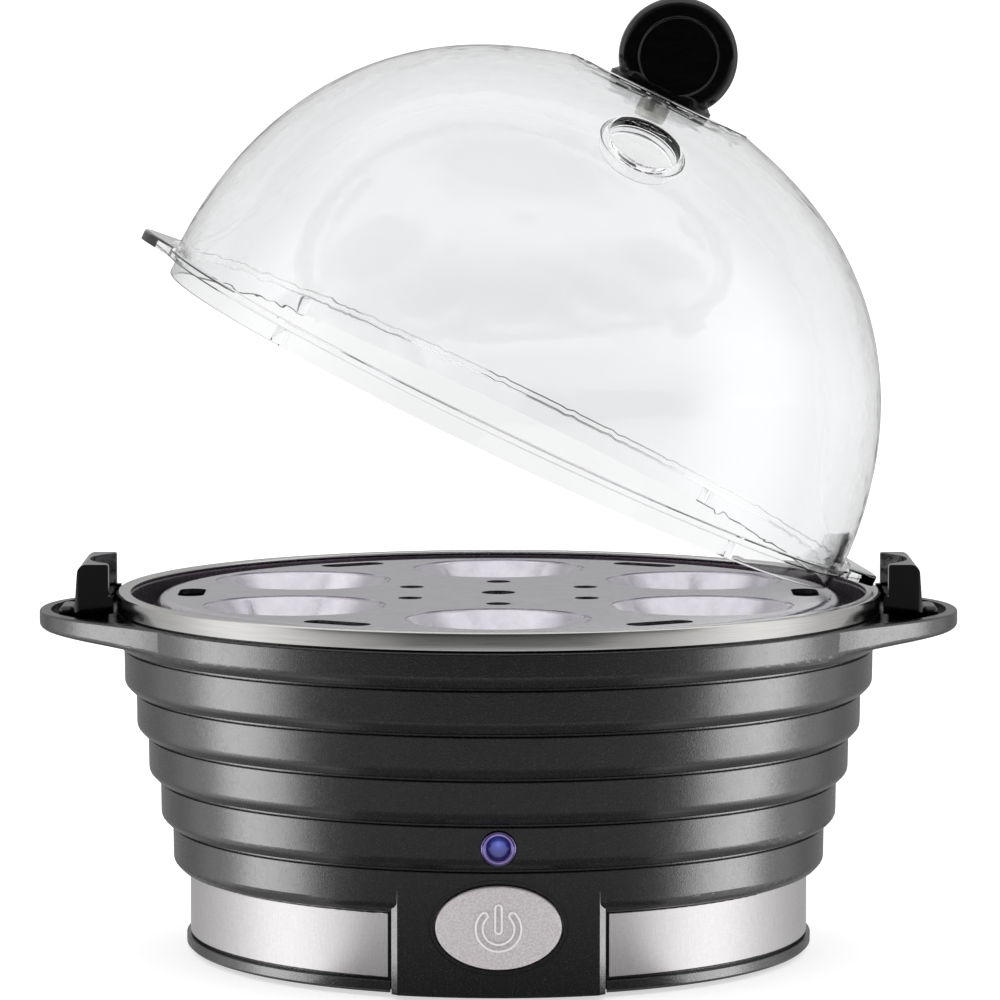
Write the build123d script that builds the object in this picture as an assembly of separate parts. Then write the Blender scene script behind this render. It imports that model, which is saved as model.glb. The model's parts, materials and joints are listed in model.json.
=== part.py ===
from build123d import *
import os
from math import sin, cos, tan, pi, radians, degrees, sqrt, atan2

# Electric egg cooker. Millimetres, +Z up, origin on the table under the centre.
# +X is to the right seen from the front, -Y is the front with the button.

# ---------------------------------------------------------------- dimensions
FOOT_H = 1.0            # rubber feet stand this far below the bottom cover
Z_BASE = FOOT_H         # underside of the bottom cover
Z_RING = 3.5            # top of the cover's visible ring
Z_F, Z_E, Z_D, Z_C, Z_B, Z_A = 17.65, 27.2, 36.8, 46.3, 55.6, 65.1   # lower edges of the tiers
Z_SHELF = 72.4          # top of the housing, under the steel rim
Z_RIM = 76.5            # top of the steel rim
R_A, R_B, R_C, R_D, R_E, R_F = 82.0, 79.45, 76.9, 74.4, 71.85, 69.3  # tier radii
R_WALL = 64.9           # lower wall behind the steel trims
R_TRIM = 65.7           # outer face of the trims
R_RING = 66.5           # bottom cover ring
R_IN_LOW = 62.9         # inside of the lower wall
PANEL_HALF = 20.4       # half width of the flat front panel's face
PANEL_ROOT = 21.6       # half width at its root, behind the bevel
TRIM_X = 22.4           # the trims end this far from the middle plane

EAR_TIP = 97.5          # half length over the ears
EAR_ROOT_A, EAR_ROOT_R = 34.0, 81.7     # where the ear's outer wall leaves the body's
EAR_WALL = 2.4
EAR_FLOOR = 70.8        # floor of the ear's trough

POST_IN, POST_OUT, POST_HALF, POST_TOP = 82.0, 89.4, 13.5, 82.9

R_RIM_OUT, R_RIM_IN, RIM_T = 81.0, 78.0, 0.8

R_BOWL, BOWL_T, Z_LEDGE, Z_BOWL = 77.9, 0.65, 69.6, 51.6

R_TRAY, Z_TRAY, TRAY_T = 71.8, 75.6, 1.0
SEAT_PCD, SEAT_R = 49.0, 15.5

LID_GAP = 0.3           # closed flange above the rim
LID_FLANGE_R, LID_FLANGE_T = 80.2, 1.6
LID_SKIRT_R, LID_SKIRT_H = 77.3, 3.85
LID_WALL = 2.2
LID_TOP = 73.5          # flat top above the flange's mid plane
LID_TOP_R = 20.6
LID_TILT = 25.5         # degrees from closed to the rest pose
PIVOT_X, PIVOT_Z = 83.3, 91.0   # axis of the tipping motion, along Y
VENT_R, VENT_POLAR = 7.6, 34.6  # vent hole in the dome's front wall

KNOB_R, KNOB_T, KNOB_UP = 12.5, 9.6, 82.4

BTN_Z, BTN_W, BTN_H = 15.5, 25.4, 16.9
BTN_TRAVEL = 2.0
LENS_Z = 31.9

Z_MID = Z_RIM + LID_GAP + LID_FLANGE_T / 2     # flange mid plane when closed


# ---------------------------------------------------------------- helpers
def face_xz(pts):
    """Closed face in the XZ plane from (x, z) or (x, z, fillet radius)."""
    p = [(q[0], 0, q[1]) for q in pts]
    r = [q[2] if len(q) > 2 else 0 for q in pts]
    if any(r):
        return make_face(FilletPolyline(*p, radius=r, close=True))
    return make_face(Polyline(*p, close=True))


def rev(pts, arc=360.0):
    return revolve(face_xz(pts), Axis.Z, arc)


def ring(r_out, r_in, z0, z1):
    return rev([(r_in, z0), (r_out, z0), (r_out, z1), (r_in, z1)])


def cyl(r, z0, z1, x=0.0, y=0.0):
    return Pos(x, y, (z0 + z1) / 2) * Cylinder(r, z1 - z0)


def cyl_y(r, y0, y1, x=0.0, z=0.0):
    return Pos(x, (y0 + y1) / 2, z) * Rot(90, 0, 0) * Cylinder(r, y1 - y0)


def cyl_x(r, x0, x1, y=0.0, z=0.0):
    return Pos((x0 + x1) / 2, y, z) * Rot(0, 90, 0) * Cylinder(r, x1 - x0)


def box(x0, x1, y0, y1, z0, z1):
    return Pos((x0 + x1) / 2, (y0 + y1) / 2, (z0 + z1) / 2) * Box(x1 - x0, y1 - y0, z1 - z0)


def plan(pts, z0, z1):
    """Prism over a polygon of (x, y) or (x, y, fillet radius)."""
    p = [(q[0], q[1], z0) for q in pts]
    r = [q[2] if len(q) > 2 else 0 for q in pts]
    line = FilletPolyline(*p, radius=r, close=True) if any(r) else Polyline(*p, close=True)
    return extrude(make_face(line), z1 - z0, dir=(0, 0, 1))


def soft(shape, edges, r):
    """Fillet where it can be built, else keep the sharp edge."""
    edges = list(edges)
    if not edges:
        return shape
    for k in (1.0, 0.7, 0.4):
        try:
            out = shape.fillet(r * k, edges)
            if out.is_valid and out.volume > 0:
                return out
        except Exception:
            pass
    print("fillet left out, radius", r)
    return shape


def polar(r, a):
    return r * cos(radians(a)), r * sin(radians(a))


def one(shape):
    """The single largest solid of a boolean result."""
    s = shape.solids()
    return max(s, key=lambda q: q.volume) if len(s) > 1 else s[0]


nodes = {}


# ---------------------------------------------------------------- housing
TIERS = [(R_A, Z_A, R_B), (R_B, Z_B, R_C), (R_C, Z_C, R_D), (R_D, Z_D, R_E), (R_E, Z_E, R_F)]


def outer_profile():
    pts = [(79.9, 74.3), (79.9, Z_SHELF), (R_A, Z_SHELF, 0.45)]
    for r, z, rn in TIERS:
        pts += [(r - 0.05, z + 1.7, 2.0), (r - 1.75, z, 1.0), (rn - 0.6, z), (rn - 0.6, z - 0.55), (rn + 0.05, z - 0.55, 0.3)]
    pts += [(R_F - 0.05, Z_F + 1.7, 2.0), (R_F - 1.75, Z_F, 1.0), (R_WALL, Z_F), (R_WALL, Z_RING)]
    return pts


inner = [(R_IN_LOW, Z_RING), (R_IN_LOW, 18.2), (66.2, 26.4), (69.1, 36.2), (71.7, 45.7), (74.2, 55.0), (76.6, 64.3), (76.9, 67.0), (78.75, 68.7), (78.75, 74.3)]
housing = rev(outer_profile() + inner)


def ear_face(z, inset, x_root):
    """Half-loop outline of an ear, pointing to +X."""
    s = EAR_TIP - inset
    k = inset
    root, lean = (x_root, -38.8 + 0.9 * k), (0.62, 0.78)
    if not inset:
        # the outer wall leaves the body's wall almost tangentially
        a = radians(EAR_ROOT_A)
        root, lean = (EAR_ROOT_R * cos(a), -EAR_ROOT_R * sin(a)), (sin(a) + 0.03, cos(a) - 0.02)
        x_root = root[0]
    pts = [root, (81.7 - 0.75 * k, -30.4 + 0.75 * k), (89.3 - 0.78 * k, -22.6 + 0.72 * k), (94.9 - 0.9 * k, -13.8 + 0.55 * k), (s, 0)]
    pts = [(x, y, z) for x, y in pts]
    pts += [(x, -y, z) for x, y, z in reversed(pts[:-1])]
    curve = Spline(*pts, tangents=[(lean[0], lean[1], 0), (-lean[0], lean[1], 0)])
    back = Polyline(pts[-1], (x_root - 10, pts[-1][1], z), (x_root - 10, pts[0][1], z), pts[0])
    return make_face([curve] + list(back.edges()))


def make_ear():
    body = extrude(ear_face(66.4, 0.0, 71.6), Z_SHELF - 66.4, dir=(0, 0, 1))
    # the underside slopes up towards the tip
    under = extrude(make_face(Polyline((60, -60, 66.0), (60, -60, 66.2), (76.0, -60, 67.2), (EAR_TIP + 3, -60, 68.95), (EAR_TIP + 3, -60, 66.0), close=True)), 120, dir=(0, 1, 0))
    body = one(body - under)
    body = body - cyl(79.9, 60, 80)
    body = one(body)
    low = [e for e in body.edges() if e.center().Z < 69.2 and (e.center().X > 85 or abs(e.center().Y) > 20) and e.length > 20 and e.center().X > 80]
    body = soft(body, low, 1.2)
    top = [e for e in body.edges() if abs(e.center().Z - Z_SHELF) < 0.01 and e.length > 40 and e.center().X > 84]
    body = soft(body, top, 0.45)
    return body


def make_trough():
    t = extrude(ear_face(EAR_FLOOR, EAR_WALL, 71.6), 10, dir=(0, 0, 1))
    t = t - cyl(81.15, 60, 90)
    t = one(t)
    vert = [e for e in t.edges() if abs(e.tangent_at(0.5).Z) > 0.95]
    return soft(t, vert, 1.5)


ear = make_ear()
housing = housing + ear + mirror(ear, Plane.YZ)
trough = make_trough()
housing = housing - trough - mirror(trough, Plane.YZ)
# a small hump in the trough stiffens the outer foot of each post
hump = box(89.7, 93.2, -5.5, 5.5, EAR_FLOOR - 0.4, 73.2)
hump = soft(hump, [e for e in hump.edges() if e.center().Z > 73 or (abs(e.tangent_at(0.5).Z) > 0.9)], 1.3)
housing = housing + hump + mirror(hump, Plane.YZ)


def make_panel(sign):
    """Flat-sided panel that carries tier F straight down to the base."""
    pts = [(-PANEL_ROOT, -58.5), (-PANEL_ROOT, -65.0), (-PANEL_HALF, -66.25), (-PANEL_HALF, -75), (PANEL_HALF, -75), (PANEL_HALF, -66.25), (PANEL_ROOT, -65.0), (PANEL_ROOT, -58.5)]
    p = plan(pts, Z_BASE, 26.4) & cyl(R_F, -5, 40)
    p = p - rev([(0, -2), (R_IN_LOW, -2), (R_IN_LOW, 18.2), (66.2, 26.4), (66.2, 30), (0, 30)])
    lo = [e for e in p.edges() if e.center().Z < Z_BASE + 0.01 and e.center().Y < -64]
    p = soft(one(p), lo, 0.7)
    return p if sign < 0 else mirror(p, Plane.XZ)


for sg in (-1, 1):
    housing = housing + make_panel(sg)
    hollow = cyl(R_F - 2.4, -5, 25.5) & (box(-19.0, 19.0, -80, -50, -5, 25.5) if sg < 0 else box(-19.0, 19.0, 50, 80, -5, 25.5))
    housing = housing - hollow

# screw bosses for the bottom cover
BOSS_R, BOSS_A = 57.0, (30, 150, 210, 330)
for a in BOSS_A:
    x, y = polar(BOSS_R, a)
    web = Rot(0, 0, a) * box(BOSS_R, 63.4, -1.5, 1.5, 5.0, 17.5)
    housing = housing + cyl(4.0, 4.3, 18.0, x, y) + web
    housing = housing - cyl(1.45, 0, 15.0, x, y)

# bosses for the circuit board, behind the panel
BOARD_BOSS = [(-17.2, 10.0), (17.2, 10.0), (-17.2, 30.0), (17.2, 30.0)]
for x, z in BOARD_BOSS:
    y0 = -66.0 if z < 20 else -66.4
    housing = housing + cyl_y(2.6, y0, -50.05, x, z)
    housing = housing - cyl_y(1.15, -58.5, -49, x, z)

# openings: button, indicator, cord gland, post screws
btn_hole = Pos(0, -60, BTN_Z) * Rot(90, 0, 0) * extrude(Ellipse(BTN_W / 2 + 0.45, BTN_H / 2 + 0.45), 30)
btn_groove = Pos(0, -60, BTN_Z) * Rot(90, 0, 0) * extrude(Ellipse(BTN_W / 2 + 1.35, BTN_H / 2 + 1.35) - Ellipse(BTN_W / 2 + 1.1, BTN_H / 2 + 1.1), 30)
groove_keep = cyl(R_F - 0.18, -5, 40)
housing = housing - (btn_hole & box(-20, 20, -80, -60, 0, 40))
housing = housing - ((btn_groove - groove_keep) & box(-20, 20, -80, -60, 0, 40))
housing = housing - cyl_y(3.05, -80, -60, 0, LENS_Z)
housing = housing - cyl_y(3.75, -80, -(R_E - 0.75), 0, LENS_Z)
GLAND_Z = 11.0
housing = housing - cyl_y(5.55, 60, 80, 0, GLAND_Z)
for sx in (-1, 1):
    for y in (-7.5, 7.5):
        housing = housing - cyl(1.35, 60, 75, sx * 85.9, y) - cyl(2.7, 60, 69.3, sx * 85.9, y)
nodes["housing"] = one(housing)

# ---------------------------------------------------------------- posts
def make_post():
    side = [(POST_IN, EAR_FLOOR + 0.05), (POST_OUT, EAR_FLOOR + 0.05), (POST_OUT - 0.9, POST_TOP, 2.0), (POST_IN, POST_TOP, 0.5)]
    b = extrude(face_xz(side), POST_HALF, both=True)
    b = b & plan([(POST_IN, -POST_HALF), (POST_OUT, -POST_HALF, 1.4), (POST_OUT, POST_HALF, 1.4), (POST_IN, POST_HALF)], 60, 90)
    b = one(b)
    b = soft(b, [e for e in b.edges() if abs(abs(e.center().Y) - POST_HALF) < 0.3 and e.center().Z > POST_TOP - 2.5 and abs(e.tangent_at(0.5).X) > 0.3], 0.5)
    # pocket for the lid's tab, open above and towards the bowl
    b = b - cyl(15.3, Z_RIM - 0.6, 95, 71.5, 0)
    for s in (-1, 1):
        lug = box(81.05, POST_IN + 0.5, 0, 2.2, Z_SHELF + 0.1, 76.2)
        b = b + Pos(0, 11.3 if s > 0 else -13.5, 0) * lug
    for y in (-7.5, 7.5):
        b = b - cyl(1.25, 60, 74.9, 85.9, y)
    return one(b)


post = make_post()
nodes["post_right"] = post
nodes["post_left"] = mirror(post, Plane.YZ)
scr = []
for sx in (-1, 1):
    for y in (-7.5, 7.5):
        s = cyl(2.3, 67.95, 69.25, sx * 85.9, y) + cyl(1.2, 69.25, 74.6, sx * 85.9, y)
        s = s - box(sx * 85.9 - 1.5, sx * 85.9 + 1.5, y - 0.35, y + 0.35, 67, 68.55)
        scr.append(one(s))
nodes["post_screws"] = Compound(scr)

# ---------------------------------------------------------------- steel rim
nodes["steel_rim"] = rev([
    (80.2, Z_SHELF + 0.3), (R_RIM_OUT, Z_SHELF + 0.3, 0.15), (R_RIM_OUT, Z_RIM, 0.5), (R_RIM_IN, Z_RIM, 0.35), (R_RIM_IN, Z_RIM - RIM_T, 0.35), (80.2, Z_RIM - RIM_T, 0.15)])

# ---------------------------------------------------------------- heating bowl
bowl = rev([
    (0, Z_BOWL), (66.9, Z_BOWL + 1.4, 6.0), (72.3, Z_LEDGE, 1.2), (R_BOWL, Z_LEDGE, 1.4), (R_BOWL, 75.65, 0.5),
    (80.0, 75.65), (80.0, 75.0), (R_BOWL + BOWL_T, 75.0), (R_BOWL + BOWL_T, Z_LEDGE - 0.65, 1.9), (72.8, Z_LEDGE - 0.65, 0.6),
    (67.4, Z_BOWL + 0.72, 6.6), (0, Z_BOWL - 0.65)])
STUD_R, STUD_A = 24.0, (90, 210, 330)
for a in STUD_A:
    x, y = polar(STUD_R, a)
    bowl = bowl + cyl(2.6, 38.75, 51.5, x, y) + cyl(1.5, 34.8, 39.0, x, y)
nodes["heating_bowl"] = one(bowl)
nodes["bowl_gasket"] = rev([(78.8, 74.35), (79.85, 74.35), (79.85, 74.95), (78.8, 74.95)])

# ---------------------------------------------------------------- egg tray
tray = rev([
    (0, Z_TRAY), (R_TRAY, Z_TRAY, 2.3), (74.5, Z_LEDGE + 0.1), (73.5, Z_LEDGE + 0.1), (R_TRAY - 1.2, Z_TRAY - TRAY_T, 1.3), (0, Z_TRAY - TRAY_T)])
# seats: a dished ring sinks to each egg hole
for k in range(6):
    a = 30 + 60 * k
    x, y = polar(SEAT_PCD, a)
    cup_o = Pos(x, y, 0) * rev([(SEAT_R, Z_TRAY - 4.2), (SEAT_R + 3.4, Z_TRAY - 0.2, 1.2), (SEAT_R + 4.6, Z_TRAY - 0.2), (SEAT_R + 4.6, Z_TRAY - TRAY_T), (SEAT_R + 2.9, Z_TRAY - TRAY_T, 0.8), (SEAT_R - 0.6, Z_TRAY - 4.9)])
    tray = tray - cyl(SEAT_R + 3.6, Z_TRAY - 3, Z_TRAY + 3, x, y)
    tray = tray + cup_o
# long slots between the seats, on the rim side, and round holes further in
for k in range(6):
    a = 60 * k
    slot = Rot(0, 0, a) * (Pos(65.2, 0, 76) * extrude(SlotOverall(15.0, 5.6, rotation=90), 6, both=True))
    tray = tray - slot
    x, y = polar(21.5, a + 30)
    tray = tray - cyl(2.6, 70, 80, x, y)
tray = tray - cyl(3.6, 70, 80, 0, 0)
# two lifting tabs folded down against the skirt
def tray_tab():
    f = face_xz([(71.7, 72.9), (72.45, 72.9, 0.3), (74.35, 70.4, 0.3), (73.4, 70.2), (71.9, 72.4)])
    return extrude(f, 4.6, both=True)


tt = tray_tab()
tray = one(tray) + tt + mirror(tt, Plane.YZ)
nodes["egg_tray"] = one(tray)

# ---------------------------------------------------------------- lid, built closed and then tipped
# control points of the dome's outer and inner meridian: radius, height above the flange's mid plane
DOME_OUT = [(78.05, 0.8), (78.05, 15.838), (73.357, 60.18), (35.218, 69.151), (LID_TOP_R, LID_TOP - 0.25)]
DOME_IN = [(78.05 - LID_WALL, 0.8), (78.05 - LID_WALL, 17.567), (69.794, 56.831), (37.468, 66.428), (20.0, 71.15)]
top = LID_TOP
o = [(r, 0, h) for r, h in DOME_OUT]
i_ = [(r, 0, h) for r, h in DOME_IN]
outer_curve = Bezier(*o)
inner_curve = Bezier(*reversed(i_))
f_t = LID_FLANGE_T / 2
rest = Polyline(o[-1], (LID_TOP_R - 0.25, 0, top), (0, 0, top), (0, 0, top - 3.2), (LID_TOP_R - 2.6, 0, top - 3.2), i_[-1])
bottom = Polyline(i_[0], (i_[0][0], 0, -f_t), (75.6, 0, -f_t), (75.6, 0, -f_t - LID_SKIRT_H), (76.6, 0, -f_t - LID_SKIRT_H), (76.6, 0, -f_t), (LID_FLANGE_R - 0.3, 0, -f_t), (LID_FLANGE_R, 0, -f_t + 0.3), (LID_FLANGE_R, 0, f_t - 0.3), (LID_FLANGE_R - 0.3, 0, f_t), (o[0][0], 0, f_t))
dome = revolve(make_face([outer_curve] + list(rest.edges()) + [inner_curve] + list(bottom.edges())), Axis.Z, 360)
# thicker skirt segments beside both tabs
relief = rev([(74.0, -f_t - LID_SKIRT_H - 1), (76.4, -f_t - LID_SKIRT_H - 1), (76.4, -f_t - 0.02), (74.0, -f_t - 0.02)], 96)
seg = rev([(76.4, -f_t - LID_SKIRT_H), (LID_SKIRT_R, -f_t - LID_SKIRT_H, 0.4), (LID_SKIRT_R, -f_t + 0.2), (76.4, -f_t + 0.2)], 100)
for s in (-50, 130):
    dome = dome - Rot(0, 0, s + 2) * relief
    dome = dome + Rot(0, 0, s) * seg
# tabs
TAB_T = 2.2
def lid_tab():
    """Rounded tongue with flared roots, in the flange's plane."""
    half = [(78.3, -17.0), (80.5, -12.5), (82.0, -9.8), (84.4, -5.8), (85.9, 0.0)]
    pts = [(x, y, -f_t) for x, y in half] + [(x, -y, -f_t) for x, y in reversed(half[:-1])]
    line = Spline(*pts, tangents=[(0.21, 0.98, 0), (-0.21, 0.98, 0)])
    back = Polyline(pts[-1], (74, 15, -f_t), (74, -15, -f_t), pts[0])
    t = extrude(make_face([line] + list(back.edges())), TAB_T, dir=(0, 0, 1))
    t = one(t - cyl(LID_FLANGE_R - 0.7, -5, 5))
    edge = [e for e in t.edges() if e.length > 25 and e.center().X > 81 and abs(e.center().Z - (TAB_T - f_t)) < 0.01]
    return soft(t, edge, 0.5)


tab = lid_tab()
dome = dome + tab + Rot(0, 0, 180) * tab
# vent: a round hole square to the surface in the front wall, with a rolled inner lip
vp = radians(VENT_POLAR)
vent_axis = Location((0, 0, 0), (VENT_POLAR, 0, 0))
vent = Rot(VENT_POLAR, 0, 0) * cyl(VENT_R, 60, 90)
lip = Rot(VENT_POLAR, 0, 0) * (rev([(VENT_R - 0.1, 72.6), (VENT_R + 1.0, 72.6, 0.5), (VENT_R + 1.3, 76.4), (VENT_R - 0.1, 76.4)]))
dome = dome + lip
dome = dome - vent
# screw hole under the knob
dome = dome - cyl(2.1, top - 6, top + 2)
dome = one(dome)
vedge = [e for e in dome.edges() if e.geom_type == GeomType.BSPLINE and e.center().Y < -30 and e.length > 42 and e.length < 70]
dome = soft(dome, vedge, 0.5)

knob_disc = Pos(0, 0, KNOB_UP) * Rot(90, 0, 0) * Cylinder(KNOB_R, KNOB_T)
knob_disc = soft(knob_disc, knob_disc.edges().filter_by(GeomType.CIRCLE), 1.9)
neck = extrude(face_xz([(-8.9, top + 1.0), (8.9, top + 1.0), (8.2, top + 3.2), (-8.2, top + 3.2)]), KNOB_T / 2 - 0.6, both=True)
foot = []
base_sk = Pos(0, 0, top + 0.02) * RectangleRounded(23.0, 13.4, 5.2)
foot = extrude(base_sk, 0.9)
flare = loft([Pos(0, 0, top + 0.9) * RectangleRounded(22.6, 13.0, 5.0), Pos(0, 0, top + 2.6) * RectangleRounded(19.0, KNOB_T - 0.6, 3.4)])
knob = knob_disc + foot + flare + neck
for s in (-1, 1):
    rec = Pos(0, s * KNOB_T / 2, KNOB_UP) * Rot(90, 0, 0) * Cylinder(8.3, 1.8)
    knob = knob - rec
knob = knob - box(-40, 40, -40, 40, 0, top + 0.02)
knob = knob - cyl(1.55, top - 1, top + 7.2)
knob = one(knob)
re_ = [e for e in knob.edges() if e.geom_type == GeomType.CIRCLE and abs(e.radius - 8.3) < 0.01]
knob = soft(knob, re_, 0.3)
kscrew = cyl(3.4, top - 5.2, top - 3.25) + cyl(1.5, top - 3.3, top + 6.6)
kscrew = soft(one(kscrew), [e for e in kscrew.edges() if e.center().Z < top - 5.1], 0.9)
for a in (0, 90):
    kscrew = kscrew - Rot(0, 0, a) * box(-1.7, 1.7, -0.35, 0.35, top - 6, top - 4.2)


def tip(shape):
    """Closed lid frame to the tipped rest pose."""
    return Pos(PIVOT_X, 0, PIVOT_Z) * Rot(0, LID_TILT, 0) * Pos(-PIVOT_X, 0, Z_MID - PIVOT_Z) * shape


nodes["lid_dome"] = tip(dome)
nodes["lid_knob"] = tip(knob)
nodes["knob_screw"] = tip(one(kscrew))

# ---------------------------------------------------------------- trims
TRIM_A = degrees(atan2(sqrt(R_TRIM ** 2 - TRIM_X ** 2), TRIM_X))     # half angle of a band seen from above
trim = Rot(0, 0, -TRIM_A) * rev([(R_WALL + 0.02, 4.0), (R_TRIM, 4.0, 0.2), (R_TRIM, 17.2, 0.2), (R_WALL + 0.02, 17.2)], 2 * TRIM_A)
nodes["trim_right"] = one(trim)
nodes["trim_left"] = mirror(one(trim), Plane.YZ)

# ---------------------------------------------------------------- bottom cover
cover = rev([(0, Z_BASE), (R_RING - 0.6, Z_BASE), (R_RING, Z_BASE + 0.6), (R_RING, Z_RING - 0.15), (R_RING - 0.15, Z_RING), (R_IN_LOW + 0.1, Z_RING), (R_IN_LOW - 0.3, Z_BASE + 2.0), (0, Z_BASE + 2.0)])
for s in (-1, 1):
    y0, y1 = (58.3, 80) if s > 0 else (-80, -58.3)
    cover = cover - (box(-PANEL_ROOT - 0.25, PANEL_ROOT + 0.25, y0, y1, -1, 6) - cyl(R_IN_LOW - 0.6, -2, 8))
    z0, z1 = Z_BASE, Z_BASE + 2.0
    fill = box(-18.7, 18.7, min(s * 58.0, s * 70.0), max(s * 58.0, s * 70.0), z0, z1) & cyl(R_F - 2.7, -1, 6)
    cover = cover + fill
for a0 in (38, 116, 218, 296):
    cover = cover + Rot(0, 0, a0) * rev([(60.9, 2.9), (62.5, 2.9), (62.5, 6.5), (60.9, 6.5)], 26)
for a in BOSS_A:
    x, y = polar(BOSS_R, a)
    cover = cover + cyl(4.8, 2.9, 4.25, x, y)
    cover = cover - cyl(1.75, 0, 6, x, y) - cyl(3.6, 0, 2.5, x, y)
FEET_R, FEET_A = 49.0, (45, 135, 225, 315)
for a in FEET_A:
    x, y = polar(FEET_R, a)
    cover = cover - cyl(5.4, 0, 1.95, x, y)
for k in range(12):
    s = Rot(0, 0, 30 * k + 15) * (Pos(27, 0, 0) * extrude(SlotOverall(16, 2.6), 8, both=True))
    cover = cover - s
# upright cradle for the terminal block
cover = cover + box(-14.0, -12.4, 33.0, 43.0, 2.9, 7.0) + box(12.4, 14.0, 33.0, 43.0, 2.9, 7.0)
# saddle for the cord clamp
cover = cover + (box(-9.5, 9.5, 51.0, 56.0, 2.9, 10.6) - cyl_y(3.6, 45, 60, 0, GLAND_Z))
for sx in (-1, 1):
    cover = cover - cyl(1.15, 4.0, 12, sx * 7.3, 53.5)
nodes["bottom_cover"] = one(cover)

foots = []
for a in FEET_A:
    x, y = polar(FEET_R, a)
    f = cyl(5.2, 0, 1.9, x, y)
    f = soft(f, [e for e in f.edges() if e.center().Z < 0.1], 0.5)
    foots.append(one(f))
nodes["feet"] = Compound(foots)
bs = []
for a in BOSS_A:
    x, y = polar(BOSS_R, a)
    s = cyl(3.2, 1.15, 2.45, x, y) + cyl(1.4, 2.4, 13.0, x, y)
    for b in (0, 90):
        s = s - Pos(x, y, 0) * Rot(0, 0, b + a) * box(-1.7, 1.7, -0.35, 0.35, 0, 1.8)
    bs.append(one(s))
nodes["bottom_screws"] = Compound(bs)

# ---------------------------------------------------------------- button and switch
ball = Pos(0, -70.75 + 80.0, BTN_Z) * Sphere(80.0)
cap = Pos(0, -66.2, BTN_Z) * Rot(90, 0, 0) * extrude(Ellipse(BTN_W / 2, BTN_H / 2), 9)
cap = cap & ball
cap = one(cap)
fe = [e for e in cap.edges() if e.center().Y < -68.5]
cap = soft(cap, fe, 0.55)
inner_cap = Pos(0, -60.0, BTN_Z) * Rot(90, 0, 0) * extrude(Ellipse(BTN_W / 2 - 1.1, BTN_H / 2 - 1.1), 3)
flange = Pos(0, -63.3, BTN_Z) * Rot(90, 0, 0) * extrude(Ellipse(13.7, 9.6), 1.3)
collar = Pos(0, -63.5, BTN_Z) * Rot(90, 0, 0) * extrude(Ellipse(BTN_W / 2 - 0.4, BTN_H / 2 - 0.4), 4)
cap = cap + collar + flange
cap = cap + cyl_y(2.4, -66, -59.5, 0, BTN_Z)
# raised power symbol, following the face
sym = Circle(4.57) - Circle(3.17)
wedge = Polygon((0, 0), (12 * tan(radians(46)), 12), (-12 * tan(radians(46)), 12), align=None)
sym = sym - wedge
rm = (4.57 + 3.17) / 2
for s in (-1, 1):
    sym = sym + Pos(s * rm * sin(radians(46)), rm * cos(radians(46))) * Circle(0.7)
sym = sym + Pos(0, 1.95) * SlotOverall(5.8, 1.30, rotation=90)
sym3 = Pos(0, -66.0, BTN_Z) * Rot(90, 0, 0) * extrude(sym, 8)
ball2 = Pos(0, -71.0 + 80.0, BTN_Z) * Sphere(80.0)
sym3 = (sym3 & ball2)
cap = cap + sym3
nodes["button_cap"] = one(cap)
nodes["switch_plunger"] = cyl_y(2.0, -59.5, -53.5, 0, BTN_Z)
sw = box(-6, 6, -57.0, -50.05, BTN_Z - 6, BTN_Z + 6)
sw = sw - cyl_y(2.06, -58, -51.0, 0, BTN_Z)
nodes["switch_body"] = one(sw)
spring_path = Helix(1.5, 6.0 - 0.7, 3.7, center=(0, -57.4, BTN_Z), direction=(0, -1, 0))
prof_plane = Plane(origin=spring_path @ 0, z_dir=spring_path % 0)
spring = sweep(prof_plane * Circle(0.32), path=spring_path, is_frenet=True)
nodes["button_spring"] = one(spring)

# ---------------------------------------------------------------- indicator
bez = cyl_y(3.55, -72.35, -(R_E - 0.7), 0, LENS_Z)
bez = soft(bez, [e for e in bez.edges() if e.center().Y < -72.2], 0.5)
bez = bez + cyl_y(3.0, -72.0, -65.6, 0, LENS_Z)
bez = bez - cyl_y(2.45, -75, -60, 0, LENS_Z)
bez = one(bez)
be = [e for e in bez.edges() if e.geom_type == GeomType.CIRCLE and abs(e.radius - 2.45) < 0.01 and e.center().Y < -72]
nodes["indicator_bezel"] = soft(bez, be, 0.3)
lens = cyl_y(2.4, -72.0, -67.2, 0, LENS_Z) & (Pos(0, -72.3 + 4.6, LENS_Z) * Sphere(4.6))
nodes["indicator_lens"] = one(lens)
led = cyl_y(1.9, -66.9, -61.0, 0, LENS_Z)
led = soft(led, [e for e in led.edges() if e.center().Y < -66.8], 1.2)
led = led + cyl_y(2.3, -62.0, -61.0, 0, LENS_Z)
for s in (-1, 1):
    led = led + cyl_y(0.3, -61.2, -49.0, s * 1.27, LENS_Z)
nodes["indicator_led"] = one(led)

# ---------------------------------------------------------------- circuit board
pcb = box(-22.5, 22.5, -50.0, -48.4, 7.0, 36.2)
for x, z in BOARD_BOSS:
    pcb = pcb - cyl_y(1.4, -52, -46, x, z)
for s in (-1, 1):
    pcb = pcb - cyl_y(0.35, -52, -46, s * 1.27, LENS_Z)
nodes["circuit_board"] = one(pcb)
bsc = []
for x, z in BOARD_BOSS:
    s = cyl_y(2.3, -48.35, -46.9, x, z) + cyl_y(1.1, -57.0, -48.3, x, z)
    s = s - box(x - 1.6, x + 1.6, -47.5, -46, z - 0.3, z + 0.3)
    bsc.append(one(s))
nodes["board_screws"] = Compound(bsc)
buz = cyl_y(5.6, -48.35, -42.0, -10.5, 20.0) - cyl_y(1.0, -44, -41, -10.5, 20.0)
nodes["buzzer"] = one(buz)
rel = box(4.0, 18.5, -48.35, -39.0, 14.0, 23.0)
nodes["relay"] = soft(rel, [e for e in rel.edges() if e.center().Y > -39.2 or abs(e.tangent_at(0.5).Y) > 0.9], 0.6)

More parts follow.
